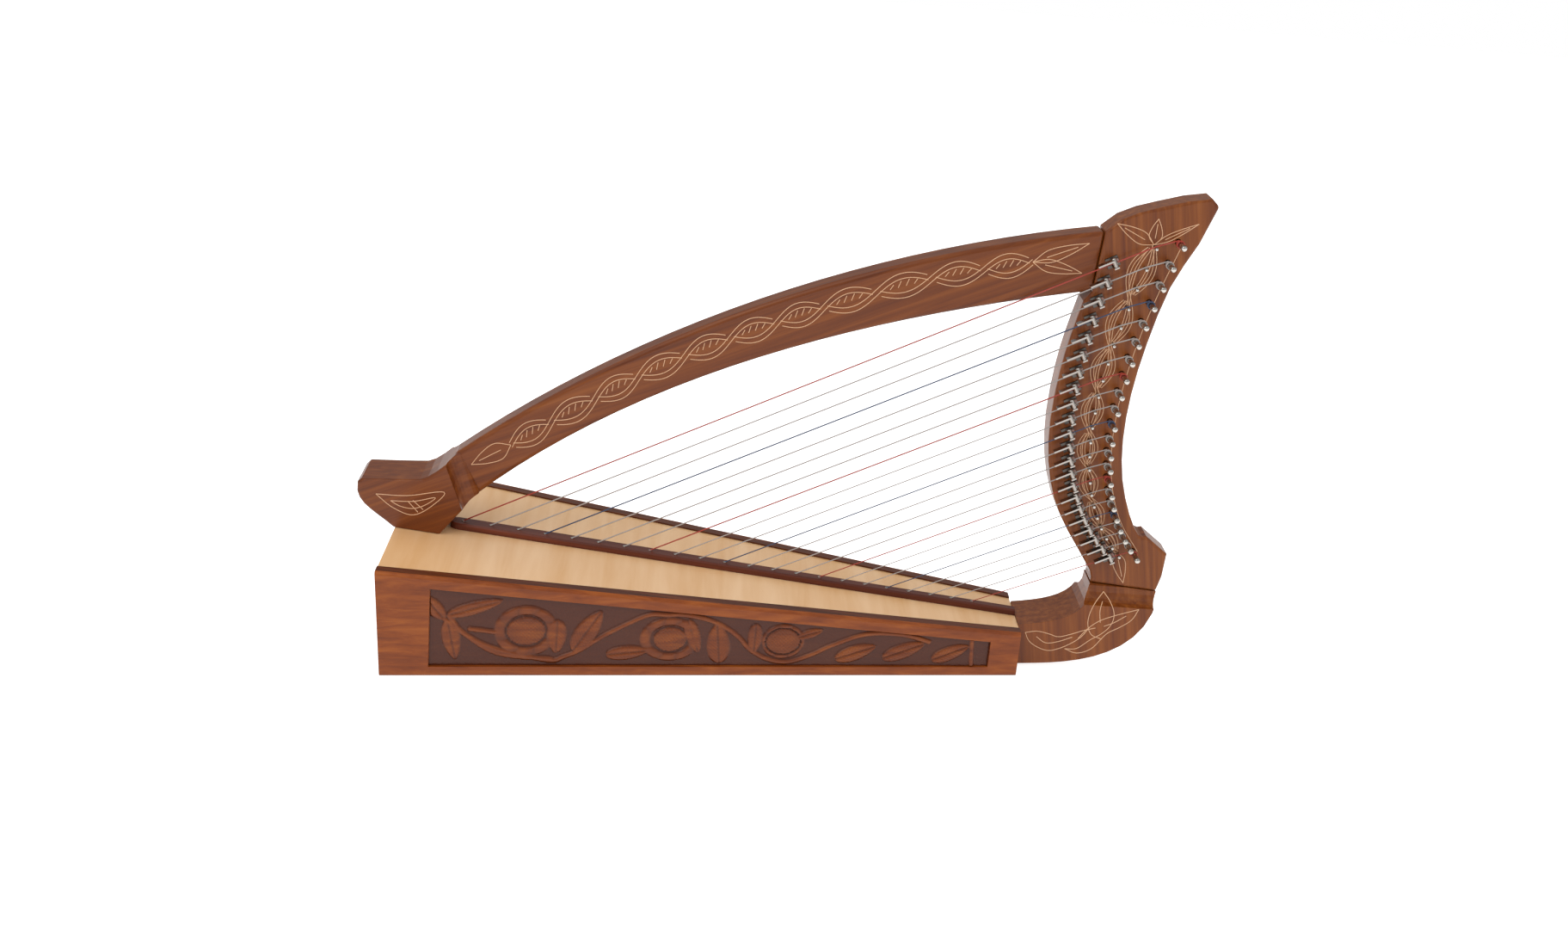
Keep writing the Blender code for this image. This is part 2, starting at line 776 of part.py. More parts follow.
def lever_mesh():
    """A hub on its pivot, a cam over the string and a blade to turn it by, in u, v and w."""
    _, cheek = cheek_span()
    low = cheek + GAP
    high = PLATE_WIDTH / 2.0
    centre = Vector((0.0, 0.0, PIVOT_HEIGHT))
    hub = rod(
        "lever",
        Vector((0.0, low, PIVOT_HEIGHT)),
        Vector((0.0, high, PIVOT_HEIGHT)),
        HUB_RADIUS,
        12,
    )
    lobe = centre + Vector((CAM_OFFSET, 0.0, 0.0))
    cam = rod(
        "cam",
        lobe - Vector((0.0, CAM_WIDTH / 2.0, 0.0)),
        lobe + Vector((0.0, CAM_WIDTH / 2.0, 0.0)),
        CAM_RADIUS,
        10,
    )
    blade = box(
        "blade",
        (-BLADE_LENGTH, high - BLADE_THICKNESS - 0.0001, PIVOT_HEIGHT - BLADE_WIDTH / 2.0 + 0.001),
        (-0.001, high - 0.0001, PIVOT_HEIGHT + BLADE_WIDTH / 2.0 + 0.001),
    )
    bore = rod(
        "bore",
        Vector((0.0, low - 0.001, PIVOT_HEIGHT)),
        Vector((0.0, high + 0.001, PIVOT_HEIGHT)),
        (PIVOT_RADIUS + PIVOT_CLEARANCE) / math.cos(math.pi / 10.0),
        10,
    )
    boolean(hub, cam, "UNION")
    hub = bake(hub)
    boolean(hub, blade, "UNION")
    hub = bake(hub)
    boolean(hub, bore, "DIFFERENCE")
    hub = bake(hub)
    hub.data.transform(Matrix.Translation(-centre))
    return hub


def hardware():
    pin = tuning_pin_mesh()
    lever = lever_mesh()
    pin.data.materials.clear()
    pin.data.materials.append(NICKEL)
    lever.data.materials.clear()
    lever.data.materials.append(LEVER_PLATE)
    for n in range(STRING_COUNT):
        copy = bpy.data.objects.new(f"tuning_pin_{n + 1:02d}", pin.data)
        HARP.objects.link(copy)
        centre = pin_centre(n)
        copy.location = (centre.x, 0.0, centre.z)
        copy = bpy.data.objects.new(f"lever_{n + 1:02d}", lever.data)
        HARP.objects.link(copy)
        frame = string_frame(n, lever_place(n))
        copy.matrix_world = frame @ Matrix.Translation((0.0, 0.0, PIVOT_HEIGHT))
    for helper in (pin, lever):
        bpy.data.objects.remove(helper, do_unlink=True)


soundboard()
side_panel("left_side_panel", -1.0)
side_panel("right_side_panel", 1.0)
edge_strip("left_edge_strip", -1.0)
edge_strip("right_edge_strip", 1.0)
back_panel()
cross_piece("base_panel", BASE_END, BASE_END + BASE_THICKNESS, ROSEWOOD)
cross_piece("end_block", TOP_END - END_BLOCK_LENGTH, TOP_END, INNER_WOOD)
inner_rib()
for number, place_x in enumerate(BRACE_PLACES, 1):
    brace(f"back_brace_{number}", place_x)
string_rib()
pillar()
neck()
shoulder_block()
hardware()
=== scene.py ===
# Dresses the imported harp: finishes, light and camera. Metres, +Z up, the harp lies on its back.
import math

import bpy
import numpy as np
from mathutils import Matrix, Vector


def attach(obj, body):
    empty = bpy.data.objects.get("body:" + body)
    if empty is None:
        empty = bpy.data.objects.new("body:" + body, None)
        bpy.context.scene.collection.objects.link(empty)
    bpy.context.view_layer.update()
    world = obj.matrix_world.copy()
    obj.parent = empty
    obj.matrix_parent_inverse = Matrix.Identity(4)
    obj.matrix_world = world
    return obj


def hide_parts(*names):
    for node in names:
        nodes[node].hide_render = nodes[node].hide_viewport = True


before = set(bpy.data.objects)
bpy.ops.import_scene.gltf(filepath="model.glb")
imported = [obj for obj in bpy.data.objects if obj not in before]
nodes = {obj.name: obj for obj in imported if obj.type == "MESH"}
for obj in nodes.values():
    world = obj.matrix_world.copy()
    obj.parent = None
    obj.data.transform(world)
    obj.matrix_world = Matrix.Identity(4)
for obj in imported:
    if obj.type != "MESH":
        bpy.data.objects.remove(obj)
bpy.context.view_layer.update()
stringCount = 22


def toLinear(hexColour):  # sRGB hex to the linear values that shaders take
    found = []
    for i in (0, 2, 4):
        c = int(hexColour[i : i + 2], 16) / 255.0
        found.append(c / 12.92 if c <= 0.04045 else ((c + 0.055) / 1.055) ** 2.4)
    return (*found, 1.0)


def addNode(tree, kind, settings=None, links=None):  # one node, its settings and what is linked into it
    node = tree.nodes.new(kind)
    for key, value in (settings or {}).items():
        if isinstance(key, int) or key in node.inputs:
            node.inputs[key].default_value = value
        else:
            setattr(node, key, value)
    for key, source in (links or {}).items():
        tree.links.new(source, node.inputs[key])
    return node


def newMaterial(name, roughness, metallic=0.0, coat=0.0):
    material = bpy.data.materials.new(name)
    material.use_nodes = True
    shader = material.node_tree.nodes["Principled BSDF"]
    shader.inputs["Roughness"].default_value = roughness
    shader.inputs["Metallic"].default_value = metallic
    shader.inputs["Coat Weight"].default_value = coat
    shader.inputs["Coat Roughness"].default_value = 0.2
    return material, material.node_tree, shader


woods = {
    # name: dark, middle and light tone, grain turned from X (degrees about Y, about Z), bands per metre
    "rosewoodBox": ("662a09", "8a4212", "aa5c20", 0.0, 0.0, 150.0),
    "rosewoodPillar": ("55240b", "743911", "8f4f1d", -24.0, 0.0, 160.0),
    "rosewoodNeck": ("5a240c", "7c4014", "9a5824", 80.0, 0.0, 160.0),
    "darkStripWood": ("3a1404", "5a280a", "783a12", 5.5, 0.0, 120.0),
    "purplishRibWood": ("441a10", "5e2a1a", "783a26", 5.5, 0.0, 120.0),
    "innerWood": ("a07c50", "b8925f", "cda673", 0.0, 0.0, 60.0),
    "rosewoodBase": ("662a09", "8a4212", "aa5c20", 0.0, 90.0, 150.0),
}


def makeWood(name):  # satin lacquered hardwood: long streaks with fine dark pores
    dark, middle, light, turn, twist, bands = woods[name]
    material, tree, shader = newMaterial(name, 0.36, 0.0, 0.06)
    shader.inputs["Specular IOR Level"].default_value = 0.32
    place = addNode(tree, "ShaderNodeTexCoord")
    turned = addNode(
        tree,
        "ShaderNodeMapping",
        {
            "vector_type": "TEXTURE",
            "Rotation": (0.0, math.radians(turn), math.radians(twist)),
            "Scale": (0.2, 1.0 / bands, 1.0 / bands),
        },
        {"Vector": place.outputs["Object"]},
    )
    streaks = addNode(
        tree,
        "ShaderNodeTexNoise",
        {"Scale": 1.0, "Detail": 6.0, "Roughness": 0.6, "Distortion": 0.4},
        {"Vector": turned.outputs["Vector"]},
    )
    ramp = addNode(tree, "ShaderNodeValToRGB", None, {"Fac": streaks.outputs["Fac"]})
    ramp.color_ramp.elements[0].position = 0.22
    ramp.color_ramp.elements[0].color = toLinear(dark)
    ramp.color_ramp.elements[1].position = 0.78
    ramp.color_ramp.elements[1].color = toLinear(light)
    ramp.color_ramp.elements.new(0.5).color = toLinear(middle)
    tree.links.new(ramp.outputs["Color"], shader.inputs["Base Color"])
    bump = addNode(
        tree, "ShaderNodeBump", {"Strength": 0.1, "Distance": 0.0003}, {"Height": streaks.outputs["Fac"]}
    )
    tree.links.new(bump.outputs["Normal"], shader.inputs["Normal"])
    return material


def makeSpruce():  # pale lacquered ply or spruce with faint cross bands
    material, tree, shader = newMaterial("paleSoundboardWood", 0.35, 0.0, 0.3)
    place = addNode(tree, "ShaderNodeTexCoord")
    turned = addNode(
        tree, "ShaderNodeMapping", {"Scale": (55.0, 4.0, 4.0)}, {"Vector": place.outputs["Object"]}
    )
    streaks = addNode(
        tree,
        "ShaderNodeTexNoise",
        {"Scale": 1.0, "Detail": 5.0, "Roughness": 0.55, "Distortion": 0.3},
        {"Vector": turned.outputs["Vector"]},
    )
    ramp = addNode(tree, "ShaderNodeValToRGB", None, {"Fac": streaks.outputs["Fac"]})
    ramp.color_ramp.elements[0].position = 0.3
    ramp.color_ramp.elements[0].color = toLinear("e2b078")
    ramp.color_ramp.elements[1].position = 0.7
    ramp.color_ramp.elements[1].color = toLinear("f1c89a")
    tree.links.new(ramp.outputs["Color"], shader.inputs["Base Color"])
    return material


def makeMetal(name, colour, roughness):  # nickel plated steel with faint wear in its gloss
    material, tree, shader = newMaterial(name, roughness, 1.0)
    shader.inputs["Base Color"].default_value = toLinear(colour)
    place = addNode(tree, "ShaderNodeTexCoord")
    wear = addNode(
        tree, "ShaderNodeTexNoise", {"Scale": 400.0, "Detail": 3.0}, {"Vector": place.outputs["Object"]}
    )
    spread = addNode(
        tree,
        "ShaderNodeMapRange",
        {"To Min": roughness - 0.05, "To Max": roughness + 0.1},
        {"Value": wear.outputs["Fac"]},
    )
    tree.links.new(spread.outputs["Result"], shader.inputs["Roughness"])
    return material


materials = {name: makeWood(name) for name in woods}
materials["spruce"] = makeSpruce()
materials["nickel"] = makeMetal("nickelPlate", "c2bdb6", 0.2)
materials["lever"] = makeMetal("leverSteel", "a49d97", 0.22)
print("materials made")

finishes = {
    "soundboard": "spruce",
    "left_edge_strip": "darkStripWood",
    "right_edge_strip": "darkStripWood",
    "string_rib": "purplishRibWood",
    "pillar": "rosewoodPillar",
    "neck": "rosewoodNeck",
    "shoulder_block": "rosewoodNeck",
    "base_panel": "rosewoodBase",
    "inner_rib": "innerWood",
    "end_block": "innerWood",
}
for name, node in nodes.items():
    if name.startswith("tuning_pin_"):
        finish = "nickel"
    elif name.startswith("lever_"):
        finish = "lever"
    elif name.startswith("back_brace"):
        finish = "innerWood"
    else:
        finish = finishes.get(name, "rosewoodBox")
    node.data.materials.clear()
    node.data.materials.append(materials[finish])
print("finishes set")


def sweepTool():  # a round wire along every edge path of the mesh that it is given
    tree = bpy.data.node_groups.new("sweepAlongPath", "GeometryNodeTree")
    sockets = {}
    for name, kind in (
        ("Path", "NodeSocketGeometry"),
        ("Radius", "NodeSocketFloat"),
        ("Sides", "NodeSocketInt"),
        ("Finish", "NodeSocketMaterial"),
    ):
        sockets[name] = tree.interface.new_socket(name, in_out="INPUT", socket_type=kind).identifier
    tree.interface.new_socket("Wire", in_out="OUTPUT", socket_type="NodeSocketGeometry")
    given = addNode(tree, "NodeGroupInput")
    path = addNode(tree, "GeometryNodeMeshToCurve", None, {"Mesh": given.outputs["Path"]})
    ring = addNode(
        tree,
        "GeometryNodeCurvePrimitiveCircle",
        None,
        {"Resolution": given.outputs["Sides"], "Radius": given.outputs["Radius"]},
    )
    wire = addNode(
        tree,
        "GeometryNodeCurveToMesh",
        {"Fill Caps": True},
        {"Curve": path.outputs["Curve"], "Profile Curve": ring.outputs["Curve"]},
    )
    real = addNode(tree, "GeometryNodeRealizeInstances", None, {"Geometry": wire.outputs["Mesh"]})
    painted = addNode(
        tree,
        "GeometryNodeSetMaterial",
        None,
        {"Geometry": real.outputs["Geometry"], "Material": given.outputs["Finish"]},
    )
    result = addNode(tree, "NodeGroupOutput")
    tree.links.new(painted.outputs["Geometry"], result.inputs[0])
    return tree, sockets


sweepTree, sweepSockets = sweepTool()


def newPiece(name, vertices, faces, finish, smoothed=True):
    mesh = bpy.data.meshes.new(name)
    mesh.from_pydata([tuple(v) for v in vertices], [], faces)
    mesh.materials.append(finish)
    if smoothed:
        mesh.shade_smooth()
    piece = bpy.data.objects.new(name, mesh)
    bpy.context.scene.collection.objects.link(piece)
    return piece


def sweep(name, paths, radius, sides, finish):
    vertices = []
    edges = []
    for path in paths:
        first = len(vertices)
        vertices.extend(tuple(p) for p in path)
        edges.extend((first + i, first + i + 1) for i in range(len(path) - 1))
    mesh = bpy.data.meshes.new(name + "Path")
    mesh.from_pydata(vertices, edges, [])
    guide = bpy.data.objects.new(name + "Path", mesh)
    bpy.context.scene.collection.objects.link(guide)
    tool = guide.modifiers.new("sweep", "NODES")
    tool.node_group = sweepTree
    tool[sweepSockets["Radius"]] = radius
    tool[sweepSockets["Sides"]] = sides
    tool[sweepSockets["Finish"]] = finish
    bpy.context.view_layer.update()
    made = bpy.data.meshes.new_from_object(guide.evaluated_get(bpy.context.evaluated_depsgraph_get()))
    bpy.data.objects.remove(guide)
    bpy.data.meshes.remove(mesh)
    made.name = name
    made.shade_smooth()
    piece = bpy.data.objects.new(name, made)
    bpy.context.scene.collection.objects.link(piece)
    return piece


def place(piece, body, slot, replaced=None):
    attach(piece, body)
    if replaced:
        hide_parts(replaced)


def between(a, b, t):
    return a + (b - a) * t


def smoothLine(points, steps=8):  # a flowing line through all the points
    points = [Vector(p) for p in points]
    ends = [2 * points[0] - points[1], *points, 2 * points[-1] - points[-2]]
    found = []
    for i in range(1, len(ends) - 2):
        p, q, r, s = ends[i - 1 : i + 3]
        for k in range(steps):
            t = k / steps
            curve = 2 * q + (r - p) * t + (2 * p - 5 * q + 4 * r - s) * t**2 + (3 * q - p - 3 * r + s) * t**3
            found.append(0.5 * curve)
    found.append(points[-1])
    return found


# Strings, rib and windings

box = {"baseEnd": -0.310, "topEnd": 0.310, "baseHeight": 0.1061, "topHeight": 0.0464}
box.update({"baseHalf": 0.143, "topHalf": 0.0525, "boardDrop": 0.0018})
stringSet = {
    "rise": 27.5,  # degrees from the horizontal
    "firstFoot": -0.2475,
    "spacing": 0.0276,
    "spacingChange": 0.000151,
    "lengths": (0.7205, 0.4745, 0.2841, 0.1525),  # strings 1, 8, 15 and 22
    "radii": (0.0006, 0.00035),
    "neckSide": -0.024,
    "seat": 0.003,
    "turns": 4,
    "plump": 1.2,  # drawn a little stouter than measured, as the photo shows them
    "redStrings": (0, 7, 14, 21),
    "blueStrings": (3, 10, 17),
}
rib = {"start": 0.050, "widths": (0.019, 0.0105), "height": 0.0065, "chamfer": 0.0015, "gap": 0.0003}
rib.update({"eyeletRadius": 0.0014, "eyeletWire": 0.0004})


def boxShare(x):  # how far along the soundbox, 0 at the wide base end and 1 at the narrow end
    return (x - box["baseEnd"]) / (box["topEnd"] - box["baseEnd"])


def rimHeight(x):
    return between(box["baseHeight"], box["topHeight"], boxShare(x))


def halfWidth(x):
    return between(box["baseHalf"], box["topHalf"], boxShare(x))


along = Vector((math.cos(math.radians(stringSet["rise"])), 0.0, math.sin(math.radians(stringSet["rise"]))))
across = Vector((-along.z, 0.0, along.x))
toPin = Vector((math.cos(math.radians(20.0)), 0.0, math.sin(math.radians(20.0))))
offPin = Vector((toPin.z, 0.0, -toPin.x))


def stringRadius(n):
    return between(*stringSet["radii"], n / (stringCount - 1))


def stringFoot(n):
    x = stringSet["firstFoot"] + stringSet["spacing"] * n - stringSet["spacingChange"] * n * n
    return Vector((x, 0.0, rimHeight(x) - box["boardDrop"] + rib["height"]))


def stringLength(n):
    known = list(zip((0, 7, 14, 21), stringSet["lengths"]))
    total = 0.0
    for i, length in known:
        for j, _ in known:
            if j != i:
                length *= (n - j) / (i - j)
        total += length
    return total


def stringTop(n):
    top = stringFoot(n) + along * stringLength(n)
    top.y = stringSet["neckSide"]
    return top


def pinCentre(n):
    run = between(0.0225, 0.015, n / (stringCount - 1))
    return stringTop(n) + toPin * run + offPin * (0.0029 + stringRadius(n))


def plainFinish(name, colour, roughness, coat=0.0):
    material, tree, shader = newMaterial(name, roughness, 0.0, coat)
    shader.inputs["Base Color"].default_value = toLinear(colour)
    return material


materials["clear"] = plainFinish("clearNylon", "a79e99", 0.25)
materials["red"] = plainFinish("redNylon", "a83a2c", 0.3)
materials["blue"] = plainFinish("blueNylon", "3d4a66", 0.3)
materials["inlay"] = plainFinish("copperInlay", "e0b088", 0.35, 0.2)
materials["plate"] = makeMetal("darkPlateSteel", "5d5854", 0.3)
materials["post"] = plainFinish("pinkishPost", "b08a80", 0.4)


def stringColour(n):
    if n in stringSet["redStrings"]:
        return "red"
    return "blue" if n in stringSet["blueStrings"] else "clear"


def makeRib():
    start = box["baseEnd"] + rib["start"]
    round_ = rib["widths"][0] / 2.0
    places = [start + round_ * (1.0 - math.cos(math.radians(a))) for a in (12, 25, 40, 55, 70, 90)]
    places.append(box["topEnd"] - rib["gap"])
    vertices = []
    for x in places:
        y = between(*rib["widths"], (x - start) / (box["topEnd"] - start)) / 2.0
        y *= math.sqrt(1.0 - (1.0 - min(1.0, (x - start) / round_)) ** 2)
        low = rimHeight(x) - box["boardDrop"] + rib["gap"]
        high = rimHeight(x) - box["boardDrop"] + rib["height"]
        cut = min(rib["chamfer"], y * 0.5)
        outline = [(-y, low), (y, low), (y, high - cut)]
        outline += [(y - cut, high), (cut - y, high), (-y, high - cut)]
        vertices.extend((x, a, b) for a, b in outline)
    faces = [tuple(range(5, -1, -1)), tuple(range(len(vertices) - 6, len(vertices)))]
    for i in range(len(places) - 1):
        for k in range(6):
            a = i * 6 + k
            b = i * 6 + (k + 1) % 6
            faces.append((a, b, b + 6, a + 6))
    piece = newPiece("stringRibWood", vertices, faces, materials["purplishRibWood"], False)
    place(piece, "harp_frame", "rib_wood", "string_rib")


def makeStrings():
    for colour in ("clear", "red", "blue"):
        for size in (0, 1, 2):
            members = [n for n in range(stringCount) if n * 3 // stringCount == size]
            members = [n for n in members if stringColour(n) == colour]
            if not members:
                continue
            paths = []
            for n in members:
                low = stringFoot(n) - (stringTop(n) - stringFoot(n)).normalized() * stringSet["seat"]
                end = stringTop(n) + toPin * between(0.0225, 0.015, n / (stringCount - 1))
                paths.append([low, stringTop(n), end])
            radius = stringSet["plump"] * sum(stringRadius(n) for n in members) / len(members)
            piece = sweep(f"{colour}Strings{size + 1}", paths, radius, 8, materials[colour])
            place(piece, "harp_frame", "rib_wood", "string_rib")
    rings = []
    for n in range(stringCount):
        centre = stringFoot(n) + Vector((0.0, 0.0, 0.0002))
        turn = [math.radians(a) for a in range(0, 361, 30)]
        reach = rib["eyeletRadius"]
        rings.append([centre + Vector((reach * math.cos(a), reach * math.sin(a), 0.0)) for a in turn])
    piece = sweep("stringEyelets", rings, rib["eyeletWire"], 6, materials["nickel"])
    place(piece, "harp_frame", "nickel", "string_rib")


def makeWindings():
    for n in range(stringCount):
        radius = stringRadius(n)
        reach = 0.0026 + radius + 0.0001
        centre = pinCentre(n)
        path = []
        for k in range(stringSet["turns"] * 16 + 1):
            a = 2.0 * math.pi * k / 16 + math.radians(110.0)
            lift = stringSet["neckSide"] - (k / 16) * radius * 2.2
            path.append((centre.x + reach * math.cos(a), lift, centre.z + reach * math.sin(a)))
        piece = sweep(f"winding_{n + 1:02d}", [path], radius, 6, materials[stringColour(n)])
        place(piece, f"tuning_pin_{n + 1:02d}", "nickel")


def turned(outline, centre, sides):  # a round part about the Y direction from (radius, y) pairs
    vertices = []
    for radius, y in outline:
        for k in range(sides):
            a = 2.0 * math.pi * k / sides
            vertices.append((centre[0] + radius * math.cos(a), y, centre[2] + radius * math.sin(a)))
    faces = [tuple(range(sides)), tuple(range(len(vertices) - 1, len(vertices) - sides - 1, -1))]
    for i in range(len(outline) - 1):
        for k in range(sides):
            a = i * sides + k
            b = i * sides + (k + 1) % sides
            faces.append((a, a + sides, b + sides, b))
    return vertices, faces


pinTip = {"front": -0.0397}  # radius and reach pairs follow
pinTip["outline"] = ((0.0024, 0.0), (0.0029, -0.0004), (0.0029, -0.0022), (0.0024, -0.0034))
pinTip["end"] = ((0.0015, -0.0041), (0.0006, -0.0043))


def makePinTips():
    for n in range(stringCount):
        outline = [(r, pinTip["front"] + y) for r, y in (*pinTip["outline"], *pinTip["end"])]
        vertices, faces = turned(outline, pinCentre(n), 20)
        piece = newPiece(f"pinTip_{n + 1:02d}", vertices, faces, materials["nickel"])
        place(piece, f"tuning_pin_{n + 1:02d}", "nickel")


lever = {"pivotDepth": 0.0105, "capStart": 0.0050, "capEnd": 0.0064, "capRadius": 0.0022}
bracket = {
    # across u (along the string), v (square to it in the neck's plane) and w (out of the neck's face)
    "plate": ((-0.0072, -0.0051, -0.0002), (0.0052, 0.0051, 0.0016)),
    "cheek": ((-0.0025, -0.0050, 0.0010), (0.0025, -0.00315, 0.0129)),
    "fret": ((0.0024, -0.0021, 0.0010), (0.0046, 0.0021, 0.0053)),
    "bridgeRadius": 0.00157,
    "bridgeLength": 0.0113,
    "neckFace": -0.0160,
}


def spreadTool():  # the same shape set down on every point of the mesh that it is given
    tree = bpy.data.node_groups.new("spreadOnPoints", "GeometryNodeTree")
    sockets = {}
    for name, kind in (
        ("Points", "NodeSocketGeometry"),
        ("Shape", "NodeSocketObject"),
        ("Finish", "NodeSocketMaterial"),
    ):
        sockets[name] = tree.interface.new_socket(name, in_out="INPUT", socket_type=kind).identifier
    tree.interface.new_socket("Copies", in_out="OUTPUT", socket_type="NodeSocketGeometry")
    given = addNode(tree, "NodeGroupInput")
    shape = addNode(tree, "GeometryNodeObjectInfo", None, {"Object": given.outputs["Shape"]})
    copies = addNode(
        tree,
        "GeometryNodeInstanceOnPoints",
        None,
        {"Points": given.outputs["Points"], "Instance": shape.outputs["Geometry"]},
    )
    real = addNode(tree, "GeometryNodeRealizeInstances", None, {"Geometry": copies.outputs["Instances"]})
    painted = addNode(
        tree,
        "GeometryNodeSetMaterial",
        None,
        {"Geometry": real.outputs["Geometry"], "Material": given.outputs["Finish"]},
    )
    result = addNode(tree, "NodeGroupOutput")
    tree.links.new(painted.outputs["Geometry"], result.inputs[0])
    return tree, sockets


spreadTree, spreadSockets = spreadTool()


def spread(name, shape, points, finish):
    mesh = bpy.data.meshes.new(name + "Points")
    mesh.from_pydata([tuple(p) for p in points], [], [])
    guide = bpy.data.objects.new(name + "Points", mesh)
    bpy.context.scene.collection.objects.link(guide)
    tool = guide.modifiers.new("spread", "NODES")
    tool.node_group = spreadTree
    tool[spreadSockets["Shape"]] = shape
    tool[spreadSockets["Finish"]] = finish
    bpy.context.view_layer.update()
    made = bpy.data.meshes.new_from_object(guide.evaluated_get(bpy.context.evaluated_depsgraph_get()))
    bpy.data.objects.remove(guide)
    bpy.data.meshes.remove(mesh)
    bpy.data.objects.remove(shape)
    made.name = name
    piece = bpy.data.objects.new(name, made)
    bpy.context.scene.collection.objects.link(piece)
    return piece


outward = Vector((0.0, -1.0, 0.0))


def leverPlace(n):
    point = stringTop(n) - along * (stringLength(n) * (1.0 - 2.0 ** (-1.0 / 12.0)))
    point.y = bracket["neckFace"]
    return point


def blockShape(low, high):
    corners = [(u, v, w) for u in (low[0], high[0]) for v in (low[1], high[1]) for w in (low[2], high[2])]
    vertices = [along * u + across * v + outward * w for u, v, w in corners]
    faces = [(0, 1, 3, 2), (4, 6, 7, 5), (0, 4, 5, 1), (2, 3, 7, 6), (0, 2, 6, 4), (1, 5, 7, 3)]
    piece = newPiece("blockShape", vertices, faces, materials["plate"], False)
    edge = piece.modifiers.new("edge", "BEVEL")
    edge.width = 0.0003
    edge.segments = 2
    bpy.context.view_layer.update()
    made = bpy.data.meshes.new_from_object(piece.evaluated_get(bpy.context.evaluated_depsgraph_get()))
    piece.modifiers.clear()
    piece.data = made
    return piece


def roundShape(outline, first, second, axis, centre, sides=16):  # turned about any axis
    vertices = []
    for radius, reach in outline:
        for k in range(sides):
            a = 2.0 * math.pi * k / sides
            vertices.append(centre + axis * reach + (first * math.cos(a) + second * math.sin(a)) * radius)
    faces = [tuple(range(sides - 1, -1, -1)), tuple(range(len(vertices) - sides, len(vertices)))]
    for i in range(len(outline) - 1):
        for k in range(sides):
            a = i * sides + k
            b = i * sides + (k + 1) % sides
            faces.append((a, b, b + sides, a + sides))
    return vertices, faces


def makeBrackets():
    points = [leverPlace(n) for n in range(stringCount)]
    for part, finish in (("plate", "plate"), ("cheek", "lever"), ("fret", "post")):
        shape = blockShape(*bracket[part])
        piece = spread(f"bracket{part.capitalize()}s", shape, points, materials[finish])
        place(piece, "harp_frame", "lever_metal")
    tops = []
    for n in range(stringCount):
        point = stringTop(n) - across * (0.0015 + stringRadius(n))
        point.y = bracket["neckFace"]
        tops.append(point)
    size = bracket["bridgeRadius"]
    reach = bracket["bridgeLength"]
    outline = [(size, -0.0002), (size, reach - 0.0004), (size * 0.8, reach), (size * 0.3, reach + 0.0002)]
    vertices, faces = roundShape(outline, along, across, outward, Vector((0.0, 0.0, 0.0)))
    shape = newPiece("bridgeShape", vertices, faces, materials["nickel"])
    piece = spread("bridgePinSleeves", shape, tops, materials["nickel"])
    place(piece, "harp_frame", "nickel")


def makeLeverCaps():
    for n in range(stringCount):
        pivot = leverPlace(n) + outward * lever["pivotDepth"]
        size = lever["capRadius"]
        outline = [(size, lever["capStart"]), (size * 0.95, lever["capStart"] + 0.0005)]
        outline += [(size * 0.7, lever["capEnd"] - 0.0003), (size * 0.25, lever["capEnd"])]
        vertices, faces = roundShape(outline, outward, along, across, pivot)
        piece = newPiece(f"leverCap_{n + 1:02d}", vertices, faces, materials["nickel"])
        place(piece, f"lever_{n + 1:02d}", "lever_metal")


makeRib()
makeStrings()
makeWindings()
makePinTips()
makeBrackets()
makeLeverCaps()
print("strings and hardware made")


# Inlaid lines, millimetres from the base end of the box (x) and up from the floor (z)

inlay = {"wire": 0.00042, "sides": 6, "pillarFace": -0.0150, "neckFace": -0.0160}
inlay.update({"footFace": -0.0285, "shoulderFace": -0.0290, "pillarReach": 0.0093, "pillarRibbon": 0.0026})
pillarKnots = [(108, 193), (146, 219), (187, 246), (227, 271), (270, 295), (312, 316), (355, 335), (398, 353)]
pillarKnots += [(446, 371), (497, 389), (545, 401), (590, 412)]
pillarTips = ((70.6, 170.0), (641.1, 434.0), (637.7, 405.0))
footLines = [
    [(-18.7, 138.0), (12, 138.5), (46.6, 144.7), (36, 130), (17.7, 118.8), (-2, 125), (-18.7, 138.0)],
    [(-4.5, 132.0), (18, 133), (38.4, 138.3), (29, 130), (17.1, 125.5), (5, 127), (-4.5, 132.0)],
    [(12, 133), (22, 122)],
    [(17, 134), (27, 125)],
]
shoulderLines = [
    [(628.3, 37.8), (633, 29), (642.4, 22.7), (655.0, 19.8), (670.0, 25.6), (684, 36), (692, 48)],
    [(628.3, 37.8), (640, 40), (652, 38), (662, 35.5), (674, 39), (686, 44), (698, 47.7)],
    [(640, 34), (650, 28), (662, 30), (676, 36)],
    [(700.6, 87.8), (694, 75), (690, 62), (690, 50), (695, 40), (706, 36)],
    [(700.6, 87.8), (709, 77), (714.6, 64), (713, 52), (705, 42), (694, 34), (682, 24), (670, 22.8)],
    [(701, 77), (700, 66), (702, 54)],
    [(738.6, 70.9), (725, 66), (712, 61), (700, 55), (690, 46), (682, 35)],
    [(738.6, 70.9), (733, 59), (722, 50), (709.7, 41.8), (697, 25), (683, 19), (670, 22.8)],
    [(727, 63), (716, 55), (706, 50)],
]
neckTips = ((664.5, 455.0), (702.5, 462.5), (741.0, 460.4), (721.8, 93.1))
neckBraid = {"knots": 7, "reach": 0.0115, "lastReach": 0.0062}
neckBraid.update({"ribbon": 0.0016, "guide": 0.0052})
neckBraid["leafHalves"] = (0.006, 0.006, 0.003)  # the last one stays clear of the first tuning pin


def onFace(points, y):
    return [Vector((p[0] / 1000.0 + box["baseEnd"], y, p[1] / 1000.0)) for p in points]


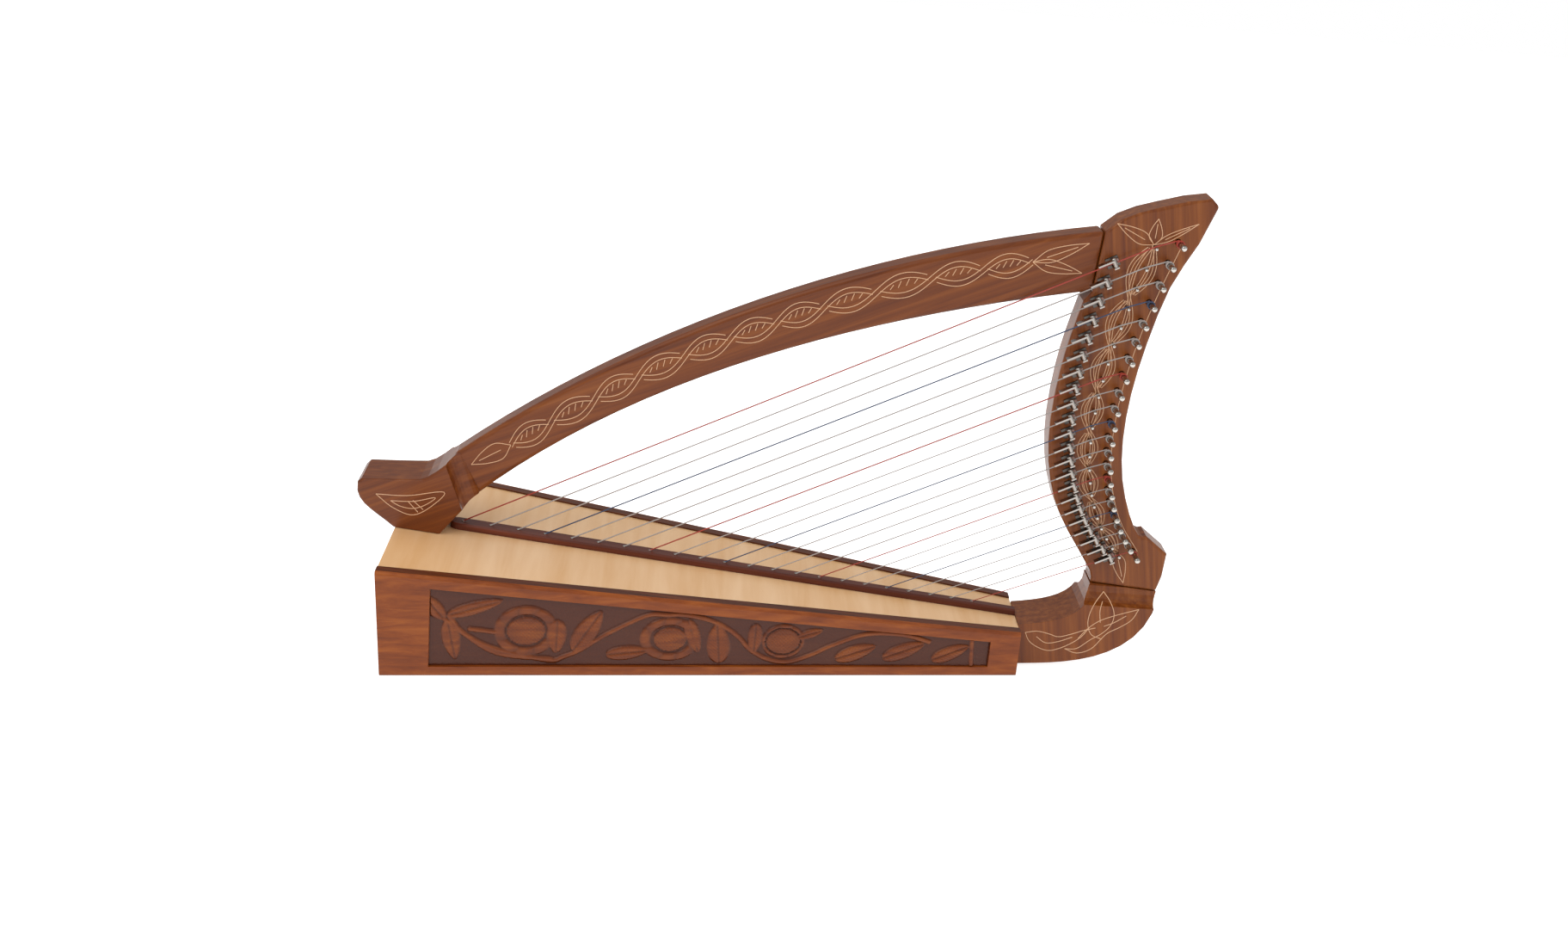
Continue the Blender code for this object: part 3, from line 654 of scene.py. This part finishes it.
def sideways(line, i):
    run = line[min(i + 1, len(line) - 1)] - line[max(i - 1, 0)]
    return Vector((-run.z, 0.0, run.x)).normalized()


def braid(knots, reach, half, lastReach=None):  # two double ribbons that pass over and under each other at the knots
    steps = 28
    line = smoothLine(knots, steps)
    lastReach = lastReach or reach
    paths = []
    for ribbon in (0, 1):
        for edge in (-half, half):
            path = []
            for i, point in enumerate(line):
                phase = i / steps
                sign = 1.0 if (ribbon + int(phase)) % 2 else -1.0
                wave = sign * math.sin(math.pi * (phase % 1.0))
                near = abs(phase - round(phase)) < 0.06
                under = near and (round(phase) + ribbon) % 2 == 0
                if under:
                    if len(path) > 1:
                        paths.append(path)
                    path = []
                else:
                    here = between(reach, lastReach, i / (len(line) - 1))
                    path.append(point + sideways(line, i) * (wave * here + edge))
            if len(path) > 1:
                paths.append(path)
    return paths


def crossBars(knots, reach, half):  # the slanted bars inside each loop of the braid
    steps = 14
    line = smoothLine(knots, steps)
    bars = []
    for i in range(steps // 2, len(line) - 1, steps):
        for k in (-3, -1, 1, 3):
            at = max(0, min(len(line) - 1, i + k))
            room = max(0.0, reach * math.cos(math.pi * k / steps) - half * 1.6)
            lean = (line[min(at + 1, len(line) - 1)] - line[at - 1]).normalized() * 0.0022
            side = sideways(line, at)
            bars.append([line[at] + side * room + lean, line[at] - lean - side * 0.0008])
    return bars


def leaf(base, tip, half):  # a pointed leaf outline with its middle vein
    run = tip - base
    side = Vector((-run.z, 0.0, run.x)).normalized() * half
    left = [base, base + run * 0.3 + side, base + run * 0.65 + side * 0.75, tip]
    right = [base, base + run * 0.3 - side, base + run * 0.65 - side * 0.75, tip]
    return [smoothLine(left, 6), smoothLine(right, 6), [base + run * 0.25, base + run * 0.8]]


def setInlay(name, paths):
    piece = sweep(name, paths, inlay["wire"], inlay["sides"], materials["inlay"])
    place(piece, "harp_frame", "pale_soundboard")


def makeInlays():
    knots = onFace(pillarKnots, inlay["pillarFace"])
    tips = onFace(pillarTips, inlay["pillarFace"])
    paths = braid(knots, inlay["pillarReach"], inlay["pillarRibbon"])
    paths += crossBars(knots, inlay["pillarReach"], inlay["pillarRibbon"])
    paths += leaf(knots[0], tips[0], 0.0085)
    paths += leaf(knots[-1], tips[1], 0.006) + leaf(knots[-1], tips[2], 0.006)
    setInlay("pillarInlay", paths)
    paths = [smoothLine(onFace(line, inlay["footFace"]), 6) for line in footLines]
    setInlay("footInlay", paths)
    paths = [smoothLine(onFace(line, inlay["shoulderFace"]), 6) for line in shoulderLines]
    setInlay("shoulderInlay", paths)
    pinLine = []
    for k in range(neckBraid["knots"] + 2):
        n = k * (stringCount - 1) / (neckBraid["knots"] + 1)
        point = stringTop(n)
        point.y = inlay["neckFace"]
        pinLine.append(point)
    tips = onFace(neckTips, inlay["neckFace"])
    reach = neckBraid["reach"]
    last = neckBraid["lastReach"]
    paths = braid(pinLine, reach, neckBraid["ribbon"], last)
    paths += braid(pinLine, reach * 0.45, neckBraid["ribbon"] * 0.8, last * 0.45)
    for tip, half in zip(tips, neckBraid["leafHalves"]):
        paths += leaf(pinLine[0], tip, half)
    paths += leaf(pinLine[-1], tips[3], 0.006)
    guide = [pinCentre(n) + Vector((neckBraid["guide"], 0.0, 0.0)) for n in range(0, stringCount, 3)]
    for point in guide:
        point.y = inlay["neckFace"]
    paths.append(smoothLine(guide, 6))
    setInlay("neckInlay", paths)


makeInlays()
print("inlays made")


# Carved relief in the sunk fields of the two side panels, in millimetres as for the inlays

carving = {"start": -0.2597, "end": 0.2797, "low": 0.0103, "topMargin": 0.0123, "depth": 0.003}
carving["lift"] = 0.0001
carving["leafSpread"] = 1.2
carving.update({"top": 0.0027, "columns": 560, "rows": 74, "stipple": 0.00028, "seed": 7, "vineHalf": 2.5})
vine = [(68, 61.3), (82.6, 42.8), (113.1, 26.9), (160.6, 16.2), (174.9, 19.8), (190.7, 27.1), (210.2, 40.7)]
vine += [(230.6, 52.5), (253.5, 63.4), (271.4, 63.5), (286.9, 63.6), (311.1, 58.4), (329, 49.4)]
vine += [(341.4, 39.5)]
vine += [(352.2, 27.6), (369.8, 17.5), (390.1, 14.8), (412.3, 22.2), (432.5, 32.5)]
vine += [(465.7, 44.3), (502.4, 43.5), (528.2, 36.2)]
stems = [vine, [(63.4, 58.6), (80.2, 44.6), (112.4, 23.3), (163, 17.1)], [(87.1, 48.1), (111.7, 44.7)]]
stems.append([(571, 41), (573, 12)])
leaves = [
    # base, tip, half width
    ((63.4, 58.6), (43.8, 82.0), 7.5),
    ((66.4, 62.1), (116.9, 77.3), 7.0),
    ((66.5, 56.9), (74.6, 16.9), 9.0),
    ((183.5, 26.2), (208.8, 67.3), 11.0),
    ((214.4, 21.8), (254.9, 26.4), 7.5),
    ((323.3, 13.8), (318.7, 54.8), 12.0),
    ((436.4, 17.7), (475.9, 31.7), 8.5),
    ((483.0, 18.6), (524.3, 34.5), 8.5),
    ((532.4, 16.9), (568.9, 31.9), 8.0),
    ((167.7, 57.5), (167.5, 23.4), 10.0),
    ((290.6, 58.2), (302.7, 23.8), 7.5),
    ((356.5, 54.6), (355.9, 23.9), 7.5),
    ((398.0, 40.6), (422.2, 48.6), 5.0),
]
flowers = [
    # centre, inner radii, outer ring radii
    ((139.0, 46.2), (18.0, 14.6), (28.8, 24.8)),
    ((274.6, 38.3), (15.6, 12.6), (28.0, 21.6)),
    ((383.7, 36.4), (16.4, 13.3), (20.1, 17.4)),
]


def strokeHeight(px, pz, line, half, top):
    best = np.full(px.shape, 1e9)
    for a, b in zip(line, line[1:]):
        rx = b[0] - a[0]
        rz = b[1] - a[1]
        t = np.clip(((px - a[0]) * rx + (pz - a[1]) * rz) / (rx * rx + rz * rz), 0.0, 1.0)
        best = np.minimum(best, np.hypot(px - a[0] - t * rx, pz - a[1] - t * rz))
    return top * np.sqrt(np.clip(1.0 - (best / half) ** 2, 0.0, 1.0))


def leafHeight(px, pz, base, tip, half, top):
    rx = tip[0] - base[0]
    rz = tip[1] - base[1]
    size = math.hypot(rx, rz)
    t = ((px - base[0]) * rx + (pz - base[1]) * rz) / size**2
    off = ((pz - base[1]) * rx - (px - base[0]) * rz) / size
    width = half * np.sqrt(np.clip(t, 0.0, 1.0)) * (1.0 - np.clip(t, 0.0, 1.0)) ** 0.7 * 1.85
    inside = np.clip(1.0 - (np.abs(off) / np.maximum(width, 0.01)) ** 4, 0.0, 1.0)
    vein = 1.0 - 0.55 * np.exp(-((off / 0.9) ** 2))
    ribs = 1.0 - 0.18 * (np.sin((t * size - np.abs(off)) * 1.9) > 0.5)
    return top * np.sqrt(inside) * vein * ribs * ((t > 0.0) & (t < 1.0))


def flowerHeight(px, pz, centre, inner, outer, top):
    dx = px - centre[0]
    dz = pz - centre[1]
    r = np.hypot(dx / inner[0], dz / inner[1])
    dome = top * np.sqrt(np.clip(1.0 - r**2 * 0.55, 0.0, 1.0)) * (r < 1.0)
    hatch = 1.0 - 0.22 * ((np.sin((dx + dz) * 1.7) > 0.55) | (np.sin((dx - dz) * 1.7) > 0.55))
    s = np.hypot(dx / outer[0], dz / outer[1])
    turn = np.arctan2(dz, dx)
    lobes = 0.45 + 0.55 * np.abs(np.sin(turn * 4.0 + s * 2.0)) ** 0.6
    petals = top * 0.8 * np.clip(1.0 - ((s - 0.86) / 0.2) ** 4, 0.0, 1.0) * lobes
    groove = (np.abs(r - 1.04) > 0.05) * 1.0
    return np.maximum(dome * hatch, petals * (r >= 1.0)) * groove


def makeCarving(name, side):
    columns = carving["columns"]
    rows = carving["rows"]
    x = np.linspace(carving["start"], carving["end"], columns)
    high = rimHeight(x) - carving["topMargin"]
    share = np.linspace(0.0, 1.0, rows)
    z = carving["low"] + (high - carving["low"])[:, None] * share[None, :]
    px = np.repeat(((x - box["baseEnd"]) * 1000.0)[:, None], rows, axis=1)
    pz = z * 1000.0
    top = carving["top"]
    height = np.zeros(px.shape)
    for line in stems:
        line = [(p.x, p.y) for p in smoothLine([(a, b, 0.0) for a, b in line], 5)]
        height = np.maximum(height, strokeHeight(px, pz, line, carving["vineHalf"], top * 0.85))
    for base, tip, half in leaves:
        height = np.maximum(height, leafHeight(px, pz, base, tip, half * carving["leafSpread"], top * 0.95))
    for centre, inner, outer in flowers:
        height = np.maximum(height, flowerHeight(px, pz, centre, inner, outer, top))
    noise = np.random.default_rng(carving["seed"]).random(px.shape)
    height = np.maximum(height, noise * carving["stipple"])
    height[0, :] = height[-1, :] = 0.0
    height[:, 0] = height[:, -1] = 0.0
    half = halfWidth(x)[:, None]
    y = side * (half - carving["depth"] + carving["lift"] + height)
    points = np.stack([np.repeat(x[:, None], rows, axis=1), y, z], axis=-1).reshape(-1, 3)
    faces = []
    for i in range(columns - 1):
        for k in range(rows - 1):
            a = i * rows + k
            quad = (a, a + 1, a + rows + 1, a + rows)
            faces.append(quad if side > 0 else quad[::-1])
    piece = newPiece(name, points.tolist(), faces, materials["carvedRosewood"])
    # relief height per point, which the carved material uses to paint shade into the low cut ground
    tone = piece.data.attributes.new("reliefHeightForShade", "FLOAT", "POINT")
    tone.data.foreach_set("value", (height / top).ravel().astype(np.float32))
    place(piece, "harp_frame", "rosewood")


def makeCarvedWood():  # the box wood, darker and more purple down in the cut ground: painted shade in the recesses, carrying the ground's purple-brown tint
    material = makeWood("rosewoodBox")
    material.name = "carvedRosewood"
    tree = material.node_tree
    shader = tree.nodes["Principled BSDF"]
    wood = shader.inputs["Base Color"].links[0].from_socket
    tone = addNode(tree, "ShaderNodeAttribute", {"attribute_name": "reliefHeightForShade"})
    share = addNode(
        tree,
        "ShaderNodeMapRange",
        {"From Min": 0.05, "From Max": 0.95, "To Min": 0.08, "To Max": 0.82},
        {"Value": tone.outputs["Fac"]},
    )
    # painted shade: the lower the relief, the more the wood is mixed toward the dark purple-brown 451c0d
    mixed = addNode(
        tree,
        "ShaderNodeMix",
        {"data_type": "RGBA", "blend_type": "MIX", 6: toLinear("451c0d")},
        {0: share.outputs["Result"], 7: wood},
    )
    tree.links.new(mixed.outputs[2], shader.inputs["Base Color"])
    return material


materials["carvedRosewood"] = makeCarvedWood()
makeCarving("leftCarving", -1.0)
makeCarving("rightCarving", 1.0)
print("carving made")


studio = {
    "worldStrength": 0.8,
    "glossDrop": 0.45,
    "keyEnergy": 14.0,
    "fillEnergy": 5.0,
    "floorSize": 12.0,
}


def makeStudio():
    world = bpy.data.worlds.new("studioWorld")
    bpy.context.scene.world = world
    world.use_nodes = True
    tree = world.node_tree
    background = tree.nodes["Background"]
    rays = addNode(tree, "ShaderNodeLightPath")
    level = addNode(
        tree,
        "ShaderNodeMapRange",
        {"To Min": studio["worldStrength"], "To Max": 1.0},
        {"Value": rays.outputs["Is Camera Ray"]},
    )
    shine = addNode(
        tree,
        "ShaderNodeMapRange",
        {"To Max": studio["glossDrop"]},
        {"Value": rays.outputs["Is Glossy Ray"]},
    )
    level = addNode(
        tree,
        "ShaderNodeMath",
        {"operation": "SUBTRACT"},
        {0: level.outputs["Result"], 1: shine.outputs["Result"]},
    )
    background.inputs["Color"].default_value = (1.0, 1.0, 1.0, 1.0)
    tree.links.new(level.outputs["Value"], background.inputs["Strength"])
    for name, energy, size, spot in (
        ("keyLight", studio["keyEnergy"], 1.6, (-0.9, -1.2, 1.8)),
        ("fillLight", studio["fillEnergy"], 2.0, (1.6, -1.0, 1.2)),
    ):
        light = bpy.data.lights.new(name, "AREA")
        light.energy = energy
        light.size = size
        lamp = bpy.data.objects.new(name, light)
        bpy.context.scene.collection.objects.link(lamp)
        lamp.location = spot
        aim = Vector((0.05, 0.0, 0.2)) - Vector(spot)
        lamp.rotation_euler = aim.to_track_quat("-Z", "Y").to_euler()


def makeFloor():  # white paper: lit by emission to the camera, with a faint shadow left on it
    half = studio["floorSize"] / 2.0
    mesh = bpy.data.meshes.new("paperFloor")
    corners = [(-half, -half, -0.0005), (half, -half, -0.0005), (half, half, -0.0005), (-half, half, -0.0005)]
    mesh.from_pydata(corners, [], [(0, 1, 2, 3)])
    floor = bpy.data.objects.new("paperFloor", mesh)
    bpy.context.scene.collection.objects.link(floor)
    material = bpy.data.materials.new("whitePaper")
    material.use_nodes = True
    tree = material.node_tree
    shader = tree.nodes["Principled BSDF"]
    shader.inputs["Base Color"].default_value = (0.8, 0.8, 0.8, 1.0)
    shader.inputs["Roughness"].default_value = 0.9
    rays = addNode(tree, "ShaderNodeLightPath")
    seen = addNode(
        tree,
        "ShaderNodeMath",
        {"operation": "MAXIMUM"},
        {0: rays.outputs["Is Camera Ray"], 1: rays.outputs["Is Glossy Ray"]},
    )
    strength = addNode(
        tree, "ShaderNodeMath", {"operation": "MULTIPLY", 1: 0.85}, {0: seen.outputs["Value"]}
    )
    tree.links.new(strength.outputs["Value"], shader.inputs["Emission Strength"])
    shader.inputs["Emission Color"].default_value = (1.0, 1.0, 1.0, 1.0)
    mesh.materials.append(material)


view = {
    "place": (-0.0322, -1.7878, 0.8268),  # metres, the origin is under the middle of the soundbox
    "yaw": 3.10,
    "pitch": 19.86,
    "roll": 5.08,
    "focalPixels": 2250.0,
    "framePixels": 1823.0,
}


def makeCamera():
    yaw, pitch, roll = (math.radians(view[key]) for key in ("yaw", "pitch", "roll"))
    ahead = Vector((math.sin(yaw) * math.cos(pitch), math.cos(yaw) * math.cos(pitch), -math.sin(pitch)))
    level = Vector((math.cos(yaw), -math.sin(yaw), 0.0))
    above = level.cross(ahead)
    right = level * math.cos(roll) + above * math.sin(roll)
    up = above * math.cos(roll) - level * math.sin(roll)
    camera = bpy.data.objects.new("photoCamera", bpy.data.cameras.new("photoCamera"))
    bpy.context.scene.collection.objects.link(camera)
    camera.data.sensor_width = 36.0
    camera.data.sensor_fit = "HORIZONTAL"
    camera.data.lens = view["focalPixels"] / view["framePixels"] * 36.0
    matrix = Matrix((right, up, -ahead)).transposed().to_4x4()
    matrix.translation = Vector(view["place"])
    camera.matrix_world = matrix
    bpy.context.scene.camera = camera


makeStudio()
makeFloor()
makeCamera()
bpy.context.scene.view_settings.view_transform = "Standard"
print("studio and camera set")
